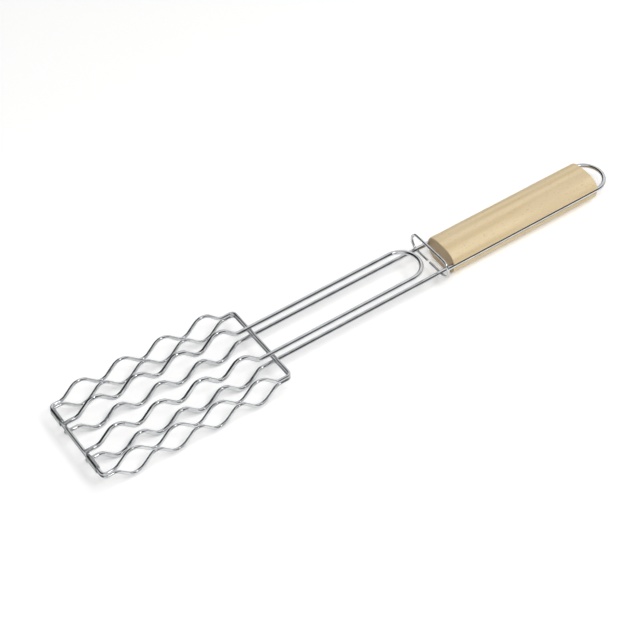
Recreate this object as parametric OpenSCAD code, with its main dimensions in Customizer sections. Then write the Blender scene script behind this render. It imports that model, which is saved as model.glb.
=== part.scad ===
// Sausage grilling basket: two wavy wire grates hinged at the front by sheet clips.
// The upper grate ends in a short loop, the lower one runs on through a wooden grip
// to a hanging loop, and a wire ring slides along the stems to lock the two together.
// +X runs from the hinge to the grip, +Z is up, and the waves stand on the ground at Z = 0.

/* [Basket] */
// Length of one sausage pocket along the basket
pocket_pitch = 40; // [36:1:46]
// Number of pockets
pocket_count = 4; // [2:1:5]
// Height of each wave above its troughs, on the wire's centre line
wave_h = 12.6; // [9:0.2:13.6]
// Bend radius at the top of each wave, on the centre line
crest_r = 10.4; // [8:0.2:11]
// Bend radius at the foot of each wave, on the centre line
trough_r = 7.5; // [6:0.5:9]
// Width between the centre lines of the side rails
basket_w = 89; // [84:1:110]
// Straight wire from the front bar to the first wave
front_run = 9; // [7:0.5:14]
// Straight wire from the last wave to the rear bar
rear_run = 11; // [7:0.5:16]
// Bend radius at the corners of each frame, on the centre line
corner_r = 4; // [3:0.5:6]
// Clear gap between the upper and the lower frame
grate_gap = 1; // [0.4:0.1:2]

/* [Wires] */
// Diameter of the frame wire: bars and side rails
frame_wire = 3; // [2.4:0.1:3.4]
// Diameter of the two inner rods, the stems and the loops
rod_wire = 4; // [3:0.1:4.4]
// Spacing of the inner rods, centre to centre
rod_spacing = 36; // [28:1:40]
// Gap between the rods' front ends of the two grates when the basket lies open
open_gap = 0.4; // [0.2:0.1:1]
// Gap left at the welds between rods and bars
weld_gap = 0.02; // [0.01:0.01:0.05]

/* [Upper loop] */
// Straight stem from the rear bar to the start of the upper loop
upper_stem = 146; // [110:1:160]

/* [Grip and hanging loop] */
// Free stem between the upper loop and the grip, where the ring lets the loop go
free_stem = 24; // [12:1:60]
// Length of the wooden grip
grip_len = 165; // [130:1:180]
// Wood outside the centre line of each stem
grip_side = 1.5; // [0.5:0.5:6]
// Thickness of the grip
grip_t = 26; // [18:0.5:30]
// How far the grip's middle lies below the stems in its grooves
grip_drop = 1.4; // [0:0.1:4]
// Power of the grip's rounded outline: 2 is an ellipse, more is squarer
grip_power = 2.7; // [2:0.1:3.2]
// Rounding of the grip's ends
grip_round = 1.6; // [0.8:0.2:3]
// Clearance round the stem in the grip's side grooves
groove_clear = 0.05; // [0.03:0.01:0.2]
// Straight stem between the grip and the bend of the hanging loop
loop_run = 0.5; // [0:0.5:10]

/* [Hinge clips] */
// Length of each clip along the bars
clip_len = 15.5; // [8:0.5:18]
// Thickness of the clip's sheet
clip_sheet = 0.6; // [0.5:0.1:1.2]
// Running clearance between the clip and the bars
clip_clear = 0.1; // [0.05:0.01:0.15]
// Open seam of the rolled clip
clip_seam = 0.8; // [0.4:0.1:1.2]
// Gap from the left clip to the frame's corner bend, and from the right clip to its rod
clip_side_gap = 0.3; // [0.2:0.1:2]

/* [Locking ring] */
// Diameter of the ring's wire
ring_wire = 2.5; // [2:0.1:3]
// Clearance between the ring and the stems
ring_clear = 0.15; // [0.1:0.05:0.5]
// Gap between the ends of the ring's wire
ring_gap = 3; // [1:0.5:6]
// Place of that gap to the left of the middle
ring_gap_y = 2; // [-8:0.5:8]

/* [Hidden] */
$fn = 40;

// A bent stretch is a hair thicker than a straight one, and the straights end just inside it
bend_extra = 0.02;
bend_lap = 0.15;

// Wave: slope of the straight flanks between the bends, and their length
bends_r = crest_r + trough_r;
slope = asin(bends_r/norm([pocket_pitch/2, bends_r - wave_h])) - atan2(bends_r - wave_h, pocket_pitch/2);
flank = (pocket_pitch/2 - bends_r*sin(slope))/cos(slope);

// Levels above and below the middle plane, and places along X from the front bar's axis
frame_z = (grate_gap + frame_wire)/2;
rod_z = frame_z + (frame_wire + rod_wire)/2 + weld_gap;
rod_overhang = max(0, (grate_gap - open_gap)/2);
rod_y = rod_spacing/2;
rail_y = basket_w/2;
basket_len = front_run + pocket_count*pocket_pitch + rear_run;
stem_x = basket_len - rear_run;
loop_x = basket_len + upper_stem;
loop_end_x = loop_x + rod_y + (rod_wire + bend_extra)/2;
grip_x = loop_end_x + free_stem;
grip_w = rod_spacing + 2*grip_side;
hanging_x = grip_x + grip_len + loop_run;

// Clip and ring, sized from what they hold
clip_in_r = frame_wire/2 + clip_clear;
clip_out_r = clip_in_r + clip_sheet;
left_clip_y = rail_y - corner_r - clip_side_gap - clip_len/2;
right_clip_y = rod_y + rod_wire/2 + clip_side_gap + clip_len/2;
ring_bend_r = rod_z + rod_wire/2 + ring_clear + ring_wire/2;
ring_x = loop_end_x + free_stem/2;

// The basket's middle along X, and the height of the middle plane over the ground
front_x = -max(clip_out_r, frame_wire/2 + rod_overhang);
rear_x = hanging_x + rod_y + (rod_wire + bend_extra)/2;
mid_x = (front_x + rear_x)/2;
ground_z = max(rod_z + wave_h + (rod_wire + bend_extra)/2, rod_z + grip_drop + grip_t/2);

// Round wire along +X from the origin, with its ends run on where they go into bends
module rod(length, wire, lap_start = 0, lap_end = 0) {
    translate([-lap_start, 0, 0])
        rotate([0, 90, 0])
            cylinder(d = wire, h = length + lap_start + lap_end);
}

// Round wire bent about the origin in the XY plane, from one angle to another
module bend(radius, from, to, wire) {
    rotate([0, 0, from])
        rotate_extrude(angle = to - from)
            translate([radius, 0])
                circle(d = wire + bend_extra);
}

// One straight flank of a wave, rising from a trough at the origin
module flank_rod(wire) {
    translate([trough_r*sin(slope), trough_r*(1 - cos(slope)), 0])
        rotate([0, 0, slope])
            rod(flank, wire, bend_lap, bend_lap);
}

// The waves in the XY plane: each trough, rise, crest and fall, and the foot of the last wave
module waves(wire) {
    for (i = [0 : pocket_count - 1])
        translate([i*pocket_pitch, 0, 0]) {
            translate([0, trough_r, 0]) bend(trough_r, i == 0 ? -90 : -90 - slope, -90 + slope, wire);
            flank_rod(wire);
            translate([pocket_pitch/2, wave_h - crest_r, 0]) bend(crest_r, 90 - slope, 90 + slope, wire);
            translate([pocket_pitch, 0, 0]) mirror([1, 0, 0]) flank_rod(wire);
        }
    translate([pocket_count*pocket_pitch, trough_r, 0]) bend(trough_r, -90 - slope, -90, wire);
}

// Stands what was drawn in the XY plane upright along X
module upright() rotate([90, 0, 0]) children();

// Places a piece of the upper (1) or lower (-1) grate, on the left (1) or the right (-1)
module seat(level, side = 1) {
    translate([-mid_x, 0, ground_z])
        mirror([0, 0, level < 0 ? 1 : 0])
            mirror([0, side < 0 ? 1 : 0, 0])
                children();
}

// Side rail of a frame: front corner, waves and rear corner
module rail() {
    translate([0, rail_y, frame_z]) {
        translate([corner_r, -corner_r, 0]) bend(corner_r, 90, 180, frame_wire);
        translate([corner_r, 0, 0]) rod(front_run - corner_r, frame_wire, bend_lap, bend_lap);
        translate([front_run, 0, 0]) upright() waves(frame_wire);
        translate([stem_x, 0, 0]) rod(rear_run - corner_r, frame_wire, bend_lap, bend_lap);
        translate([basket_len - corner_r, -corner_r, 0]) bend(corner_r, 0, 90, frame_wire);
    }
}

// Straight bar of a frame, between its corner bends
module bar(x) {
    half = rail_y - corner_r;
    translate([x, -half, frame_z]) rotate([0, 0, 90]) rod(2*half, frame_wire);
}

// Inner rod, welded across both bars: a straight front end and the waves
module inner_rod() {
    start = frame_wire/2 + rod_overhang;
    translate([0, rod_y, rod_z]) {
        translate([-start, 0, 0]) rod(start + front_run, rod_wire, 0, bend_lap);
        translate([front_run, 0, 0]) upright() waves(rod_wire);
    }
}

// Straight stem that carries an inner rod on, as far as the bend of its loop
module stem(end_x) {
    translate([stem_x, rod_y, rod_z]) rod(end_x - stem_x, rod_wire);
}

// Half-round bend that joins the left and the right stem
module loop_bend(x) {
    translate([x, 0, rod_z]) bend(rod_y, -90, 90, rod_wire);
}

// Points of the grip's outline, drawn in by an inset, at a place along X
grip_points = 48;
function rounded(t, half) = sign(t)*pow(abs(t), 2/grip_power)*half;
function grip_ring(x, inset) = [
    for (i = [0 : grip_points - 1])
        let (a = 360*i/grip_points)
            [x, rounded(cos(a), grip_w/2 - inset), rounded(sin(a), grip_t/2 - inset)]
];

// Wooden blank: the outline lofted along X, with its ends rounded in four steps
module grip_blank() {
    steps = [0 : 30 : 90];
    rings = concat(
        [for (a = steps) grip_ring(grip_round*(1 - cos(a)), grip_round*(1 - sin(a)))],
        [for (a = steps) grip_ring(grip_len - grip_round*(1 - sin(a)), grip_round*(1 - cos(a)))]
    );
    last = len(rings) - 1;
    side_faces = [
        for (r = [0 : last - 1], i = [0 : grip_points - 1])
            let (a = r*grip_points, b = a + grip_points, j = (i + 1) % grip_points)
                each [[a + i, b + j, b + i], [a + i, a + j, b + j]]
    ];
    front = [for (i = [0 : grip_points - 1]) grip_points - 1 - i];
    rear = [for (i = [0 : grip_points - 1]) last*grip_points + i];
    polyhedron(points = [for (r = rings) each r], faces = concat(side_faces, [front, rear]));
}

// Grip with a groove along each side, open to the side, in which the stems lie
module grip() {
    groove_r = rod_wire/2 + groove_clear;
    past = 1;
    translate([grip_x, 0, 0])
        difference() {
            translate([0, 0, -grip_drop]) grip_blank();
            for (side = [-1, 1])
                translate([-past, side*rod_y, 0]) {
                    rod(grip_len + 2*past, 2*groove_r);
                    translate([0, side > 0 ? 0 : -grip_w, -groove_r])
                        cube([grip_len + 2*past, grip_w, 2*groove_r]);
                }
        }
}

// Outline of two round ends, one above the other, for the clip
module upright_slot(radius) {
    for (end = [-1, 1]) translate([0, end*frame_z]) circle(r = radius);
    square([2*radius, 2*frame_z], center = true);
}

// Sheet clip rolled round both front bars, with its seam on the basket's side
module clip() {
    translate([0, clip_len/2, 0])
        rotate([90, 0, 0])
            linear_extrude(clip_len)
                difference() {
                    upright_slot(clip_out_r);
                    upright_slot(clip_in_r);
                    translate([0, -clip_seam/2]) square([clip_out_r + 1, clip_seam]);
                }
}

// Long ring of round wire across the stems, drawn in the XY plane, with a gap in its lower run
module ring_outline() {
    right_run = rod_y + ring_gap_y - ring_gap/2;
    left_run = rod_y - ring_gap_y - ring_gap/2;
    translate([-rod_y, ring_bend_r, 0]) rod(2*rod_y, ring_wire, bend_lap, bend_lap);
    translate([-rod_y, 0, 0]) bend(ring_bend_r, 90, 270, ring_wire);
    translate([rod_y, 0, 0]) bend(ring_bend_r, -90, 90, ring_wire);
    translate([-rod_y, -ring_bend_r, 0]) rod(right_run, ring_wire, bend_lap, 0);
    translate([rod_y - left_run, -ring_bend_r, 0]) rod(left_run, ring_wire, 0, bend_lap);
}

module upper_front_bar() { color("silver") seat(1) bar(0); }
module upper_rear_bar() { color("silver") seat(1) bar(basket_len); }
module upper_left_rail() { color("silver") seat(1) rail(); }
module upper_right_rail() { color("silver") seat(1, -1) rail(); }
module upper_left_rod() { color("silver") seat(1) inner_rod(); }
module upper_right_rod() { color("silver") seat(1, -1) inner_rod(); }
module upper_left_stem() { color("silver") seat(1) stem(loop_x); }
module upper_right_stem() { color("silver") seat(1, -1) stem(loop_x); }
module upper_loop() { color("silver") seat(1) loop_bend(loop_x); }

module lower_front_bar() { color("silver") seat(-1) bar(0); }
module lower_rear_bar() { color("silver") seat(-1) bar(basket_len); }
module lower_left_rail() { color("silver") seat(-1) rail(); }
module lower_right_rail() { color("silver") seat(-1, -1) rail(); }
module lower_left_rod() { color("silver") seat(-1) inner_rod(); }
module lower_right_rod() { color("silver") seat(-1, -1) inner_rod(); }
module lower_left_stem() { color("silver") seat(-1) stem(hanging_x); }
module lower_right_stem() { color("silver") seat(-1, -1) stem(hanging_x); }
module hanging_loop() { color("silver") seat(-1) loop_bend(hanging_x); }

module wooden_grip() { color("burlywood") seat(1) translate([0, 0, -rod_z]) grip(); }
module left_hinge_clip() { color("gainsboro") seat(1) translate([0, left_clip_y, 0]) clip(); }
module right_hinge_clip() { color("gainsboro") seat(1) translate([0, -right_clip_y, 0]) clip(); }
module locking_ring() {
    color("lightgray") seat(1) translate([ring_x, 0, 0]) rotate([90, 0, 90]) ring_outline();
}

upper_front_bar();
upper_rear_bar();
upper_left_rail();
upper_right_rail();
upper_left_rod();
upper_right_rod();
upper_left_stem();
upper_right_stem();
upper_loop();
lower_front_bar();
lower_rear_bar();
lower_left_rail();
lower_right_rail();
lower_left_rod();
lower_right_rod();
lower_left_stem();
lower_right_stem();
hanging_loop();
wooden_grip();
left_hinge_clip();
right_hinge_clip();
locking_ring();
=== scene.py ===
"""Looks of a sausage grilling basket: bright bent wires, sheet clips and a beech grip."""
import math

import bmesh
import bpy
from mathutils import Euler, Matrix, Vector


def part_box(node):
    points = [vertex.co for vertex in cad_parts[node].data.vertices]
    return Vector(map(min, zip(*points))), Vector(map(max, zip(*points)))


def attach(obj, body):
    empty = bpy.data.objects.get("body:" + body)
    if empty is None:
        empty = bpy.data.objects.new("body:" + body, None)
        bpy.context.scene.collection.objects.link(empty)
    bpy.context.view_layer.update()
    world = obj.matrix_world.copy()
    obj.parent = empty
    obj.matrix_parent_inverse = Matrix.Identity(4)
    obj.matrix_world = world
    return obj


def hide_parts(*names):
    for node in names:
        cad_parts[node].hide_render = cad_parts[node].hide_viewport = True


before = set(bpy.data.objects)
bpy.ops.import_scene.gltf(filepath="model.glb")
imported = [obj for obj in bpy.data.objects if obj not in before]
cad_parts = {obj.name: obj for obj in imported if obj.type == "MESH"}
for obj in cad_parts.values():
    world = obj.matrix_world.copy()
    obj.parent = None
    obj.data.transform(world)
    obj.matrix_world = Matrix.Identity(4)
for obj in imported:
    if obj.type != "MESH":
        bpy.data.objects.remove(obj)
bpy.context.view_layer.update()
MM = 0.001

# Sizes of the real basket in millimetres, as its construction has them
pocket_pitch = 40.0
pocket_count = 4
wave_height = 12.6
crest_radius = 10.4
trough_radius = 7.5
front_run = 9.0
rear_run = 11.0
corner_radius = 4.0
frame_wire = 3.0
rod_wire = 4.0
ring_wire = 2.5
ring_gap = 3.0
ring_gap_y = 2.0
grip_side = 1.5
grip_thickness = 26.0
grip_drop = 1.4
grip_power = 2.7
groove_clearance = 0.05
clip_sheet = 0.6
clip_clearance = 0.1
clip_seam = 0.8

# Small finish in millimetres that the construction lacks, or has larger at the grip's ends
grip_round = 1.0
groove_lip = 0.35
clip_edge = 0.14
nugget_width = 2.7
nugget_height = 1.5


def box_mm(node):
    """Lowest and highest corner of a node of the construction, in millimetres."""
    low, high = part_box(node)
    return low/MM, high/MM


def middle(node):
    """Middle of a node's box, in millimetres."""
    low, high = box_mm(node)
    return (low + high)/2


# Places read from the construction: bars, rods, grip, loops, clips and ring.
# The upper grate is level 1 and the lower one is level -1.
hinge_x = middle("lower_front_bar").x
rear_bar_x = middle("lower_rear_bar").x
frame_level = {1: middle("upper_front_bar").z, -1: middle("lower_front_bar").z}
rod_level = {1: middle("upper_left_stem").z, -1: middle("lower_left_stem").z}
middle_z = (frame_level[1] + frame_level[-1])/2
rail_y = box_mm("upper_front_bar")[1].y + corner_radius
rod_y = middle("upper_left_stem").y
rod_front_x = box_mm("upper_left_rod")[0].x
stem_end_x = {1: box_mm("upper_left_stem")[1].x, -1: box_mm("lower_left_stem")[1].x}
grip_front_x = box_mm("wooden_grip")[0].x
grip_rear_x = box_mm("wooden_grip")[1].x
ring_x = middle("locking_ring").x
ring_low, ring_high = box_mm("locking_ring")
ring_bend_radius = (ring_high.z - ring_low.z - ring_wire)/2

# The straight flank between the bends of a wave
bend_sum = crest_radius + trough_radius
flank_slope = (math.asin(bend_sum/math.hypot(pocket_pitch/2, bend_sum - wave_height))
               - math.atan2(bend_sum - wave_height, pocket_pitch/2))
flank_length = (pocket_pitch/2 - bend_sum*math.sin(flank_slope))/math.cos(flank_slope)

UP = Vector((0, 0, 1))
ALONG = Vector((1, 0, 0))

# Sockets of the colour mix node, which has several of the same name
MIX_FACTOR = 0
MIX_FIRST = 6
MIX_SECOND = 7
MIX_RESULT = 2


def paint(code):
    """A colour written as sRGB hex, as the linear RGBA that the shaders take."""
    channels = [int(code[i:i + 2], 16)/255 for i in (1, 3, 5)]
    linear = [c/12.92 if c <= 0.04045 else ((c + 0.055)/1.055)**2.4 for c in channels]
    return (*linear, 1.0)


def add_node(tree, kind, values=None, links=None, **settings):
    """One node of a tree, with its settings, its input values and the sockets that feed it."""
    node = tree.nodes.new(kind)
    for name, value in settings.items():
        setattr(node, name, value)
    for name, value in (values or {}).items():
        node.inputs[name].default_value = value
    for name, socket in (links or {}).items():
        tree.links.new(socket, node.inputs[name])
    return node


def new_material(name):
    """An empty material: its tree, its shader and the position on the piece in metres."""
    material = bpy.data.materials.new(name)
    material.use_nodes = True
    tree = material.node_tree
    tree.nodes.clear()
    shader = add_node(tree, "ShaderNodeBsdfPrincipled")
    add_node(tree, "ShaderNodeOutputMaterial", links={"Surface": shader.outputs["BSDF"]})
    place = add_node(tree, "ShaderNodeTexCoord").outputs["Object"]
    return material, tree, shader, place


def per_mm(size):
    """Texture scale, per metre, of a pattern with features of this size in millimetres."""
    return 1/(size*MM)


def stretched(tree, place, x=1.0, y=1.0, z=1.0, shift=(0, 0, 0)):
    """The place squeezed along each axis, for grain that runs one way."""
    node = add_node(tree, "ShaderNodeMapping", {"Scale": (x, y, z), "Location": shift},
                    {"Vector": place})
    return node.outputs["Vector"]


def noise(tree, place, size, detail=2.0, roughness=0.5):
    """Soft noise from 0 to 1 with features of this size in millimetres."""
    node = add_node(tree, "ShaderNodeTexNoise",
                    {"Scale": per_mm(size), "Detail": detail, "Roughness": roughness},
                    {"Vector": place})
    return node.outputs["Fac"]


def remap(tree, value, low, high, to_low=0.0, to_high=1.0):
    """A value moved from one range to another and kept within it."""
    node = add_node(tree, "ShaderNodeMapRange",
                    {"From Min": low, "From Max": high, "To Min": to_low, "To Max": to_high},
                    {"Value": value}, interpolation_type="SMOOTHSTEP")
    return node.outputs["Result"]


def blend_paint(tree, factor, first, second):
    """Two colours, hex codes or sockets, mixed by a factor."""
    node = add_node(tree, "ShaderNodeMix", links={MIX_FACTOR: factor}, data_type="RGBA")
    for place, colour in ((MIX_FIRST, first), (MIX_SECOND, second)):
        if isinstance(colour, str):
            node.inputs[place].default_value = paint(colour)
        else:
            tree.links.new(colour, node.inputs[place])
    return node.outputs[MIX_RESULT]


def bump(tree, shader, height, depth):
    """Relief of this depth in millimetres on the shader."""
    node = add_node(tree, "ShaderNodeBump", {"Strength": 1.0, "Distance": depth*MM},
                    {"Height": height})
    tree.links.new(node.outputs["Normal"], shader.inputs["Normal"])


def bright_plated_steel():
    """Cold-drawn steel wire with a bright plating: a near-mirror with fine drawing pits."""
    material, tree, shader, place = new_material("bright_plated_steel")
    cloud = remap(tree, noise(tree, place, size=9.0, detail=3.0), 0.35, 0.65)
    speck = remap(tree, noise(tree, place, size=0.7), 0.35, 0.7)
    colour = blend_paint(tree, cloud, "#D8DADC", "#C9CBCD")
    gloss = remap(tree, speck, 0.0, 1.0, to_low=0.04, to_high=0.09)
    tree.links.new(colour, shader.inputs["Base Color"])
    tree.links.new(gloss, shader.inputs["Roughness"])
    shader.inputs["Metallic"].default_value = 1.0
    shader.inputs["Specular Tint"].default_value = paint("#C2C3C4")
    pits = noise(tree, place, size=0.9, detail=3.0, roughness=0.6)
    bump(tree, shader, pits, depth=0.014)
    return material


def welded_steel():
    """Spot-weld nuggets under the same plating: duller, grainier, a little straw-coloured."""
    material, tree, shader, place = new_material("welded_steel")
    cloud = noise(tree, place, size=0.8, detail=3.0, roughness=0.6)
    colour = blend_paint(tree, remap(tree, cloud, 0.35, 0.65), "#A9A69E", "#8E8B84")
    tree.links.new(colour, shader.inputs["Base Color"])
    shader.inputs["Metallic"].default_value = 1.0
    shader.inputs["Roughness"].default_value = 0.38
    bump(tree, shader, cloud, depth=0.08)
    return material


def rolled_sheet_steel():
    """Thin plated sheet, rolled: satin, greyer than the wire, fine scratches along the bars."""
    material, tree, shader, place = new_material("rolled_sheet_steel")
    along_bars = stretched(tree, place, y=0.06)
    scratch = noise(tree, along_bars, size=0.25, detail=3.0, roughness=0.6)
    cloud = remap(tree, noise(tree, place, size=5.0), 0.35, 0.65)
    colour = blend_paint(tree, cloud, "#A6A9A9", "#8F9291")
    gloss = remap(tree, scratch, 0.3, 0.7, to_low=0.2, to_high=0.34)
    tree.links.new(colour, shader.inputs["Base Color"])
    tree.links.new(gloss, shader.inputs["Roughness"])
    shader.inputs["Metallic"].default_value = 1.0
    bump(tree, shader, scratch, depth=0.02)
    return material


def sanded_beech():
    """Pale unvarnished beech: faint growth bands, short brown flecks and darker end grain."""
    material, tree, shader, place = new_material("sanded_beech")
    ring_width = 3.6
    pith_offset = (0, 0.034, -0.062)
    wander = noise(tree, stretched(tree, place, x=0.12), size=14.0)
    rings = add_node(tree, "ShaderNodeTexWave",
                     {"Scale": per_mm(2*math.pi*ring_width), "Distortion": 1.8,
                      "Detail": 2.0, "Detail Scale": 1.2},
                     {"Vector": stretched(tree, place, x=0.06, shift=pith_offset)},
                     wave_type="RINGS", rings_direction="X", wave_profile="SIN")
    bands = remap(tree, rings.outputs["Fac"], 0.0, 1.0)
    base = blend_paint(tree, bands, "#E5D1AA", "#D5BE93")
    patches = blend_paint(tree, remap(tree, wander, 0.35, 0.65), base, "#DBC6A0")
    fibre = noise(tree, stretched(tree, place, x=0.035), size=0.55, detail=3.0, roughness=0.65)
    fibre_mark = remap(tree, fibre, 0.54, 0.72, to_high=0.4)
    lined = blend_paint(tree, fibre_mark, patches, "#C9B089")
    fleck = noise(tree, stretched(tree, place, x=0.22), size=0.6, detail=1.0)
    fleck_mark = remap(tree, fleck, 0.66, 0.72, to_high=0.45)
    flecked = blend_paint(tree, fleck_mark, lined, "#A98455")
    facing = add_node(tree, "ShaderNodeTexCoord").outputs["Normal"]
    facing_x = add_node(tree, "ShaderNodeSeparateXYZ", links={"Vector": facing}).outputs["X"]
    endwise = add_node(tree, "ShaderNodeMath", links={0: facing_x}, operation="ABSOLUTE")
    end_mark = remap(tree, endwise.outputs["Value"], 0.6, 0.95, to_high=0.8)
    pores = noise(tree, place, size=0.45, roughness=0.6)
    end_grain = blend_paint(tree, remap(tree, pores, 0.4, 0.65), "#C2A781", "#A88C6A")
    finished = blend_paint(tree, end_mark, flecked, end_grain)
    sheen = remap(tree, fibre, 0.3, 0.7, to_low=0.42, to_high=0.56)
    tree.links.new(finished, shader.inputs["Base Color"])
    tree.links.new(sheen, shader.inputs["Roughness"])
    shader.inputs["IOR"].default_value = 1.5
    bump(tree, shader, fibre, depth=0.06)
    return material


PLATED = bright_plated_steel()
WELDED = welded_steel()
SHEET = rolled_sheet_steel()
BEECH = sanded_beech()


def rotated(vector, axis, angle):
    """A vector turned about an axis."""
    axis = Vector(axis).normalized()
    return (vector*math.cos(angle) + axis.cross(vector)*math.sin(angle)
            + axis*axis.dot(vector)*(1 - math.cos(angle)))


class WireBender:
    """The middle line of a wire as a bending machine makes it: runs and round bends, in mm."""

    step = math.radians(5)
    fewest_steps = 3

    def __init__(self, start, heading):
        self.at = Vector(start)
        self.heading = Vector(heading).normalized()
        self.points = [self.at.copy()]

    def run(self, length):
        """A straight run."""
        self.at = self.at + self.heading*length
        self.points.append(self.at.copy())

    def bend(self, radius, angle, axis):
        """A bend about an axis by the right-hand rule, with a positive angle in radians."""
        arm = Vector(axis).cross(self.heading)*-radius
        centre = self.at - arm
        count = max(self.fewest_steps, math.ceil(angle/self.step))
        for i in range(1, count + 1):
            self.points.append(centre + rotated(arm, axis, angle*i/count))
        self.at = self.points[-1].copy()
        self.heading = rotated(self.heading, axis, angle)

    def waves(self, level):
        """All the pockets of one rail or rod, rising upwards (1) or downwards (-1)."""
        rise = self.heading.cross(UP*level)
        for _ in range(pocket_count):
            self.bend(trough_radius, flank_slope, rise)
            self.run(flank_length)
            self.bend(crest_radius, 2*flank_slope, -rise)
            self.run(flank_length)
            self.bend(trough_radius, flank_slope, rise)


def frame_line(level):
    """Closed frame wire of one grate, from the middle of its front bar round by the left rail."""
    wire = WireBender((hinge_x, 0, frame_level[level]), (0, 1, 0))
    for before, after in ((front_run, rear_run), (rear_run, front_run)):
        wire.run(rail_y - corner_radius)
        wire.bend(corner_radius, math.pi/2, -UP)
        wire.run(before - corner_radius)
        wire.waves(level)
        wire.run(after - corner_radius)
        wire.bend(corner_radius, math.pi/2, -UP)
        wire.run(rail_y - corner_radius)
    return wire.points[:-1]


def rod_line(level):
    """Inner wire of one grate: a rod, its stem, the round loop, and the other stem and rod."""
    wire = WireBender((rod_front_x, rod_y, rod_level[level]), ALONG)
    lead = hinge_x + front_run - rod_front_x
    stem = stem_end_x[level] - (rear_bar_x - rear_run)
    wire.run(lead)
    wire.waves(level)
    wire.run(stem)
    wire.bend(rod_y, math.pi, -UP)
    wire.run(stem)
    wire.waves(level)
    wire.run(lead)
    return wire.points


def ring_line():
    """Locking ring: a long ring across the stems, open by a gap in its lower run."""
    start = Vector((ring_x, ring_gap_y + ring_gap/2, middle_z - ring_bend_radius))
    wire = WireBender(start, (0, 1, 0))
    wire.run(rod_y - start.y)
    wire.bend(ring_bend_radius, math.pi, ALONG)
    wire.run(2*rod_y)
    wire.bend(ring_bend_radius, math.pi, ALONG)
    wire.run(rod_y + ring_gap_y - ring_gap/2)
    return wire.points


def eased_ends(points, diameter):
    """Points of an open wire, more of them near its cut ends, with the thickness at each."""
    # Distance from the cut in diameters, and thickness there as a share of the full one
    marks = ((0.0, 0.8), (0.03, 0.88), (0.08, 0.96), (0.14, 1.0))

    def cut(end, inner):
        inwards = (inner - end).normalized()*diameter
        return [(end + inwards*distance, share) for distance, share in marks]

    head = cut(points[0], points[1])
    tail = cut(points[-1], points[-2])
    return head + [(p, 1.0) for p in points[1:-1]] + tail[::-1]


def new_tree(name, **sockets):
    """An empty Geometry Nodes tree that takes geometry, these inputs and a finish."""
    tree = bpy.data.node_groups.new(name, "GeometryNodeTree")
    taken = {"Geometry": "Geometry", **sockets, "Finish": "Material"}
    for socket, kind in taken.items():
        tree.interface.new_socket(socket.replace("_", " "), in_out="INPUT",
                                  socket_type="NodeSocket" + kind)
    tree.interface.new_socket("Geometry", in_out="OUTPUT", socket_type="NodeSocketGeometry")
    return tree, add_node(tree, "NodeGroupInput").outputs


def finish_tree(tree, geometry, finish):
    """The end of a tree: real geometry, smooth, with its material."""
    real = add_node(tree, "GeometryNodeRealizeInstances", links={"Geometry": geometry})
    smooth = add_node(tree, "GeometryNodeSetShadeSmooth",
                      links={"Geometry": real.outputs["Geometry"]})
    coated = add_node(tree, "GeometryNodeSetMaterial",
                      links={"Geometry": smooth.outputs["Geometry"], "Material": finish})
    add_node(tree, "NodeGroupOutput", links={"Geometry": coated.outputs["Geometry"]})
    return tree


def wire_tree():
    """Geometry Nodes tree that draws round wire along a middle line."""
    tree, given = new_tree("draw_round_wire", Wire_Diameter="Float", Sides="Int")
    radius = add_node(tree, "ShaderNodeMath", {1: 0.5}, {0: given["Wire Diameter"]},
                      operation="MULTIPLY")
    profile = add_node(tree, "GeometryNodeCurvePrimitiveCircle",
                       links={"Resolution": given["Sides"], "Radius": radius.outputs["Value"]})
    thickness = add_node(tree, "GeometryNodeInputRadius")
    tube = add_node(tree, "GeometryNodeCurveToMesh", {"Fill Caps": True},
                    {"Curve": given["Geometry"], "Profile Curve": profile.outputs["Curve"],
                     "Scale": thickness.outputs["Radius"]})
    return finish_tree(tree, tube.outputs["Mesh"], given["Finish"])


def nugget_tree():
    """Geometry Nodes tree that sets a flattened, slightly uneven weld nugget on every point."""
    tree, given = new_tree("set_weld_nuggets", Nugget_Width="Float", Nugget_Height="Float",
                           Roughness_Seed="Int")
    ball = add_node(tree, "GeometryNodeMeshUVSphere",
                    {"Segments": 20, "Rings": 12, "Radius": 0.5})
    size = add_node(tree, "ShaderNodeCombineXYZ",
                    links={"X": given["Nugget Width"], "Y": given["Nugget Width"],
                           "Z": given["Nugget Height"]})
    smallest, largest = (0.9, 0.9, 0.95), (1.12, 1.12, 1.05)
    uneven = add_node(tree, "FunctionNodeRandomValue", data_type="FLOAT_VECTOR",
                      links={"Seed": given["Roughness Seed"]})
    uneven.inputs[0].default_value = smallest
    uneven.inputs[1].default_value = largest
    scale = add_node(tree, "ShaderNodeVectorMath",
                     links={0: size.outputs["Vector"], 1: uneven.outputs[0]},
                     operation="MULTIPLY")
    placed = add_node(tree, "GeometryNodeInstanceOnPoints",
                      links={"Points": given["Geometry"], "Instance": ball.outputs["Mesh"],
                             "Scale": scale.outputs["Vector"]})
    return finish_tree(tree, placed.outputs["Instances"], given["Finish"])


def link_piece(name, data):
    """A new object in the scene that holds this mesh or curve."""
    piece = bpy.data.objects.new(name, data)
    bpy.context.scene.collection.objects.link(piece)
    return piece


def evaluated_mesh(piece):
    """A plain mesh of what the piece's modifiers make."""
    depsgraph = bpy.context.evaluated_depsgraph_get()
    return bpy.data.meshes.new_from_object(piece.evaluated_get(depsgraph))


def grown(name, seed, tree, **inputs):
    """What a Geometry Nodes tree makes of a seed curve or mesh, as a plain mesh piece."""
    source = link_piece(name + "_seed", seed)
    modifier = source.modifiers.new("grow", "NODES")
    modifier.node_group = tree
    for item in tree.interface.items_tree:
        key = item.name.replace(" ", "_").lower()
        if item.in_out == "INPUT" and key in inputs:
            modifier[item.identifier] = inputs[key]
    made = evaluated_mesh(source)
    bpy.data.objects.remove(source)
    made.name = name
    return link_piece(name, made)


WIRE_TREE = wire_tree()
NUGGET_TREE = nugget_tree()


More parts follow.
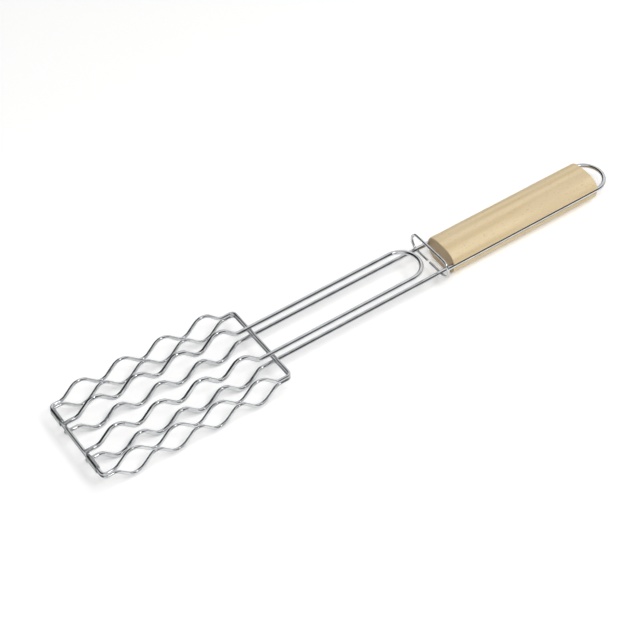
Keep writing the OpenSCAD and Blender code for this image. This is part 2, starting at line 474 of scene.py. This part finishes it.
def draw_wire(name, points, diameter, body, nodes, closed=False):
    """A wire piece along its middle line, riding on a body in place of its nodes."""
    beads = [(p, 1.0) for p in points] if closed else eased_ends(points, diameter)
    curve = bpy.data.curves.new(name + "_line", "CURVE")
    curve.dimensions = "3D"
    spline = curve.splines.new("POLY")
    spline.points.add(len(beads) - 1)
    for bead, (place, thickness) in zip(spline.points, beads):
        bead.co = (*(place*MM), 1.0)
        bead.radius = thickness
    spline.use_cyclic_u = closed
    piece = grown(name, curve, WIRE_TREE, wire_diameter=diameter*MM, sides=24, finish=PLATED)
    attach(piece, body)
    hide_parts(*nodes)


def weld_rods(level, name, body):
    """Spot welds where the two rods of a grate cross its bars."""
    bar_top = frame_level[level] + level*frame_wire/2
    seed = bpy.data.meshes.new(name + "_points")
    places = [Vector((x, side*rod_y, bar_top))*MM
              for x in (hinge_x, rear_bar_x) for side in (-1, 1)]
    seed.from_pydata(places, [], [])
    piece = grown(name, seed, NUGGET_TREE, nugget_width=nugget_width*MM,
                  nugget_height=nugget_height*MM, roughness_seed=3 + level, finish=WELDED)
    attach(piece, body)


FRAME_PARTS = ("front_bar", "rear_bar", "left_rail", "right_rail")
ROD_PARTS = ("left_rod", "right_rod", "left_stem", "right_stem")

for level, word, loop in ((1, "upper", "upper_loop"), (-1, "lower", "hanging_loop")):
    body = word + "_grate"
    frame_nodes = [f"{word}_{part}" for part in FRAME_PARTS]
    rod_nodes = [f"{word}_{part}" for part in ROD_PARTS] + [loop]
    draw_wire(word + "_frame_wire", frame_line(level), frame_wire, body, frame_nodes,
              closed=True)
    draw_wire(word + "_rod_wire", rod_line(level), rod_wire, body, rod_nodes)
    weld_rods(level, word + "_spot_welds", body)

draw_wire("ring_wire", ring_line(), ring_wire, "locking_ring", ["locking_ring"])


def mesh_piece(name, shape, material):
    """A piece made from a bmesh, smooth, with one material."""
    bmesh.ops.recalc_face_normals(shape, faces=shape.faces)
    mesh = bpy.data.meshes.new(name)
    shape.to_mesh(mesh)
    shape.free()
    mesh.materials.append(material)
    mesh.shade_smooth()
    return link_piece(name, mesh)


def clip_profile():
    """Middle line of a rolled clip's sheet in the XZ plane, from one edge of its seam round."""
    radius = frame_wire/2 + clip_clearance + clip_sheet/2
    half = frame_level[1] - middle_z
    steps = 18
    angles = [math.pi*i/steps for i in range(1, steps)]
    line = [(radius, clip_seam/2), (radius, half)]
    line += [(radius*math.cos(a), half + radius*math.sin(a)) for a in angles]
    line += [(-radius, half), (-radius, 0), (-radius, -half)]
    line += [(-radius*math.cos(a), -half - radius*math.sin(a)) for a in angles]
    line += [(radius, -half), (radius, -clip_seam/2)]
    return [(hinge_x + x, middle_z + z) for x, z in line]


def roll_clip(name, node):
    """Sheet clip rolled round both front bars: a strip with real thickness and eased edges."""
    low, high = box_mm(node)
    shape = bmesh.new()
    rows = 8
    grid = [[shape.verts.new(Vector((x, low.y + (high.y - low.y)*j/rows, z))*MM)
             for x, z in clip_profile()] for j in range(rows + 1)]
    for near, far in zip(grid, grid[1:]):
        for i in range(len(near) - 1):
            shape.faces.new((near[i], near[i + 1], far[i + 1], far[i]))
    piece = mesh_piece(name, shape, SHEET)
    sheet = piece.modifiers.new("sheet", "SOLIDIFY")
    sheet.thickness = clip_sheet*MM
    sheet.offset = 0.0
    sheet.use_even_offset = True
    edge = piece.modifiers.new("edge", "BEVEL")
    edge.width = clip_edge*MM
    edge.segments = 2
    edge.limit_method = "ANGLE"
    edge.angle_limit = math.radians(50)
    edge.harden_normals = True
    made = evaluated_mesh(piece)
    piece.modifiers.clear()
    piece.data = made
    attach(piece, "hinge_clips")
    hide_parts(node)


roll_clip("left_rolled_clip", "left_hinge_clip")
roll_clip("right_rolled_clip", "right_hinge_clip")


def grip_outline():
    """Cross-section of the grip, anticlockwise: y, z, outward y, outward z and end share.

    The end share says how much of the end rounding a point takes, less inside the grooves.
    """
    half_width = rod_y + grip_side
    half_thickness = grip_thickness/2
    stem_z = rod_level[-1]
    grip_z = stem_z - grip_drop
    groove = rod_wire/2 + groove_clearance
    skin_share, brim_share, lip_share, channel_share = 1.0, 0.7, 0.35, 0.15
    brim_depth = 0.1
    lip_depth = brim_depth + 0.25
    brim_rise = groove + groove_lip*0.3
    skin_steps = 60
    channel_steps = 14
    points = []

    def skin(angle):
        """Point of the superellipse at an angle."""
        c, s = math.cos(angle), math.sin(angle)
        y = math.copysign(abs(c)**(2/grip_power)*half_width, c)
        z = math.copysign(abs(s)**(2/grip_power)*half_thickness, s)
        return y, z + grip_z

    def angle_at(z):
        """Angle of the superellipse's point at a height, below the middle as a negative one."""
        angle = math.asin((abs(z - grip_z)/half_thickness)**(grip_power/2))
        return math.copysign(angle, z - grip_z)

    def arc(start, end):
        """The skin from one angle to another."""
        for i in range(skin_steps + 1):
            y, z = skin(start + (end - start)*i/skin_steps)
            points.append((y, z, skin_share))

    def channel(side):
        """The groove of one side, from its lower lip to its upper lip on +Y."""
        brim = (half_width - brim_depth)*side
        lip = (half_width - lip_depth)*side
        angles = [math.pi*(i/channel_steps - 0.5) for i in range(channel_steps + 1)]
        rows = [(brim, stem_z - brim_rise, brim_share), (lip, stem_z - groove, lip_share)]
        rows += [((rod_y - groove*math.cos(a))*side, stem_z + groove*math.sin(a), channel_share)
                 for a in angles]
        rows += [(lip, stem_z + groove, lip_share), (brim, stem_z + brim_rise, brim_share)]
        points.extend(rows if side > 0 else reversed(rows))

    upper_lip = angle_at(stem_z + groove + groove_lip)
    lower_lip = angle_at(stem_z - groove - groove_lip)
    arc(upper_lip, math.pi - upper_lip)
    channel(-1)
    arc(math.pi - lower_lip, 2*math.pi + lower_lip)
    channel(1)
    outline = []
    for i, (y, z, share) in enumerate(points):
        before, after = points[i - 1], points[(i + 1) % len(points)]
        along = Vector((after[0] - before[0], after[1] - before[1])).normalized()
        outline.append((y, z, along.y, -along.x, share))
    return outline


def grip_stations():
    """Cross-sections along the grip as (x, how far its outline is drawn in), front to rear."""
    round_steps = 6
    straight_steps = 24
    face_margin = 0.4
    angles = [math.pi/2*i/round_steps for i in range(round_steps + 1)]
    front = [(grip_front_x + grip_round*(1 - math.cos(a)), grip_round*(1 - math.sin(a)))
             for a in angles]
    rear = [(grip_rear_x - (x - grip_front_x), inset) for x, inset in reversed(front)]
    straight = grip_rear_x - grip_front_x - 2*grip_round
    between = [(grip_front_x + grip_round + straight*i/straight_steps, 0.0)
               for i in range(1, straight_steps)]
    face = grip_round + face_margin
    return [(grip_front_x, face), *front, *between, *rear, (grip_rear_x, face)]


def shape_grip():
    """Wooden grip: its outline lofted from end to end, with sanded ends and groove lips."""
    shape = bmesh.new()
    outline = grip_outline()
    rings = [[shape.verts.new(Vector((x, y - ny*inset*share, z - nz*inset*share))*MM)
              for y, z, ny, nz, share in outline] for x, inset in grip_stations()]
    count = len(outline)
    for near, far in zip(rings, rings[1:]):
        for i in range(count):
            j = (i + 1) % count
            shape.faces.new((near[i], near[j], far[j], far[i]))
    shape.faces.new(list(reversed(rings[0])))
    shape.faces.new(rings[-1])
    piece = mesh_piece("beech_grip", shape, BEECH)
    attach(piece, "lower_grate")
    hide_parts("wooden_grip")


shape_grip()


def set_camera():
    """The photograph's view: a long lens from above the front right corner."""
    lens = bpy.data.cameras.new("camera")
    lens.sensor_width = 36.0
    lens.lens = 99.38
    lens.clip_end = 20.0
    camera = link_piece("camera", lens)
    camera.location = Vector((-587.44, -883.42, 1129.56))*MM
    tilt, pan, roll = math.radians(42.97), math.radians(-31.92), math.radians(-3.34)
    turn = Euler((tilt, 0, pan)).to_matrix() @ Euler((0, 0, roll)).to_matrix()
    camera.rotation_euler = turn.to_euler()
    bpy.context.scene.camera = camera


def lay_floor():
    """Plain pale floor, with a little light of its own for the eye and for reflections."""
    floor_radius = 7.0
    floor_level = -0.0002
    own_light = 0.18
    material, tree, shader, _ = new_material("matt_white_floor")
    shader.inputs["Base Color"].default_value = paint("#FAFAF9")
    shader.inputs["Roughness"].default_value = 0.9
    shader.inputs["Specular IOR Level"].default_value = 0.2
    ray = add_node(tree, "ShaderNodeLightPath").outputs
    seen = ray["Is Camera Ray"]
    for other in ("Is Glossy Ray", "Is Transmission Ray"):
        seen = add_node(tree, "ShaderNodeMath", links={0: seen, 1: ray[other]},
                        operation="MAXIMUM").outputs["Value"]
    glow = add_node(tree, "ShaderNodeMath", {1: own_light}, {0: seen}, operation="MULTIPLY")
    shader.inputs["Emission Color"].default_value = paint("#FFFFFF")
    tree.links.new(glow.outputs["Value"], shader.inputs["Emission Strength"])
    shape = bmesh.new()
    bmesh.ops.create_circle(shape, cap_ends=True, segments=96, radius=floor_radius)
    floor = mesh_piece("floor", shape, material)
    for corner in floor.data.vertices:
        corner.co.z = floor_level


def softbox(name, place, size, power, mirrored=True):
    """A soft rectangular lamp aimed at the basket, which the wires may mirror or not."""
    lamp = bpy.data.lights.new(name, "AREA")
    lamp.shape = "RECTANGLE"
    lamp.size, lamp.size_y = size
    lamp.energy = power
    body = link_piece(name, lamp)
    body.location = place
    body.rotation_euler = (-Vector(place)).to_track_quat("-Z", "Y").to_euler()
    body.visible_glossy = mirrored


def light_studio():
    """Dark walls with three pale panels over a white skirting, and two soft lamps."""
    world = bpy.data.worlds.new("studio")
    bpy.context.scene.world = world
    world.use_nodes = True
    tree = world.node_tree
    tree.nodes.clear()
    look = add_node(tree, "ShaderNodeTexCoord").outputs["Generated"]

    # Direction of each panel, and the cosines to it at its outer edge and where it is full
    right_panel = ((0.7, 0.35, 0.62), 0.6, 0.8)
    front_panel = ((-0.3, -0.5, 0.81), 0.86, 0.95)
    low_left_panel = ((-0.6, -0.75, 0.27), 0.91, 0.965)
    colour = "#222327"
    for direction, edge, full in (right_panel, front_panel, low_left_panel):
        facing = add_node(tree, "ShaderNodeVectorMath", {1: direction}, {0: look},
                          operation="DOT_PRODUCT").outputs["Value"]
        colour = blend_paint(tree, remap(tree, facing, edge, full), colour, "#F9F9F9")
    skirting_full, skirting_edge = 0.02, 0.05
    height = add_node(tree, "ShaderNodeSeparateXYZ", links={"Vector": look}).outputs["Z"]
    above = remap(tree, height, skirting_full, skirting_edge)
    colour = blend_paint(tree, above, "#F7F7F6", colour)
    backdrop = add_node(tree, "ShaderNodeBackground", {"Strength": 1.0}, {"Color": colour})
    add_node(tree, "ShaderNodeOutputWorld", links={"Surface": backdrop.outputs["Background"]})

    softbox("overhead_softbox", place=(0.0, -0.9, 2.17), size=(1.6, 1.6), power=26.8,
            mirrored=False)
    softbox("key_lamp", place=(0.29, -1.44, 1.9), size=(0.5, 0.4), power=7.0)


set_camera()
lay_floor()
light_studio()
bpy.context.scene.view_settings.view_transform = "Standard"
